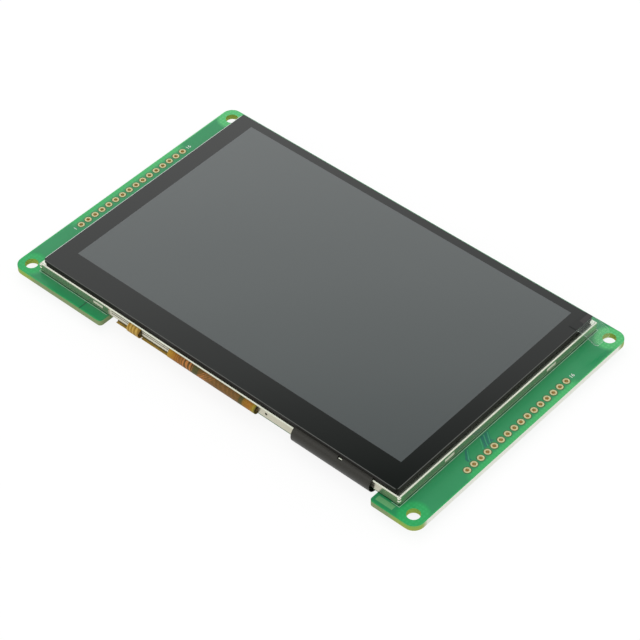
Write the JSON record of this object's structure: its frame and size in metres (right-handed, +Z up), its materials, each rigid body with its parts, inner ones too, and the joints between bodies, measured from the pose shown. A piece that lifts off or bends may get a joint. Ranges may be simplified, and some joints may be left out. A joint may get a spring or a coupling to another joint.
{
  "type": "tft display module",
  "caption": "Flat colour display with a touch glass on a green carrier board, with corner mounting holes and a header row at each short side.",
  "frame": {"origin": "middle of the circuit board in plan, on the surface that the underside components rest on", "axes": "+X along the board's long side, +Y from the flex circuits to the back edge, +Z up out of the screen"},
  "size_m": [0.1354, 0.0822, 0.0084],
  "materials": {
    "laminate": "glass-fibre laminate under green solder mask",
    "gold_plating": "gold flash over copper",
    "white_tape": "double-sided tape",
    "tinned_steel": "tin-plated spring steel, folded",
    "white_plastic": "moulded polycarbonate",
    "white_film": "white polyester film",
    "clear_acrylic": "clear acrylic plate",
    "led_package": "side-view LED package",
    "amber_polyimide": "polyimide flex circuit",
    "optical_film": "optical film",
    "black_tape": "black tape",
    "polariser": "polariser film",
    "panel_glass": "display glass",
    "chip_black": "epoxy moulding",
    "sensor_glass": "touch sensor glass",
    "clear_adhesive": "optical adhesive",
    "black_print": "screen-printed black ink",
    "cover_glass": "strengthened glass",
    "black_flex": "black polyimide flex circuit",
    "clear_film": "clear polyester film",
    "tin": "tin plating",
    "ceramic_body": "multilayer ceramic",
    "crystal_ceramic": "ceramic package",
    "crystal_metal": "welded metal lid",
    "ferrite": "ferrite",
    "tantalum": "yellow epoxy moulding",
    "connector_plastic": "moulded nylon",
    "contact_gold": "gold-plated contact",
    "solder": "solder"
  },
  "bodies": {
    "root": {"circuit_board": "laminate", "left_header_barrels": "gold_plating", "right_header_barrels": "gold_plating", "mounting_tape": "white_tape", "metal_frame": "tinned_steel", "mould_frame": "white_plastic", "reflector_sheet": "white_film", "light_guide": "clear_acrylic", "backlight_leds": "led_package", "backlight_flex": "amber_polyimide", "diffuser_sheet": "optical_film", "lower_prism_sheet": "optical_film", "upper_prism_sheet": "optical_film", "light_shield_tape": "black_tape", "rear_polariser": "polariser", "tft_glass": "panel_glass", "colour_filter_glass": "panel_glass", "front_polariser": "polariser", "driver_chips": "chip_black", "main_flex": "amber_polyimide", "gasket_tape": "black_tape", "touch_sensor": "sensor_glass", "optical_adhesive": "clear_adhesive", "border_print": "black_print", "cover_glass": "cover_glass", "touch_flex": "black_flex", "touch_controller": "chip_black", "pull_tab": "clear_film", "display_controller": "chip_black", "display_controller_leads": "tin", "crystal_base": "crystal_ceramic", "crystal_lid": "crystal_metal", "power_inductors": "ferrite", "inductor_terminals": "tin", "boost_converters": "chip_black", "voltage_regulator": "chip_black", "small_chip_leads": "tin", "rectifier_diodes": "chip_black", "diode_terminals": "tin", "bulk_capacitors": "tantalum", "bulk_capacitor_terminals": "tin", "ceramic_capacitors": "ceramic_body", "capacitor_end_caps": "tin", "chip_resistors": "chip_black", "resistor_end_caps": "tin", "touch_connector_housing": "connector_plastic", "touch_connector_contacts": "contact_gold", "main_flex_solder": "solder", "backlight_solder": "solder"}
  },
  "joints": []
}
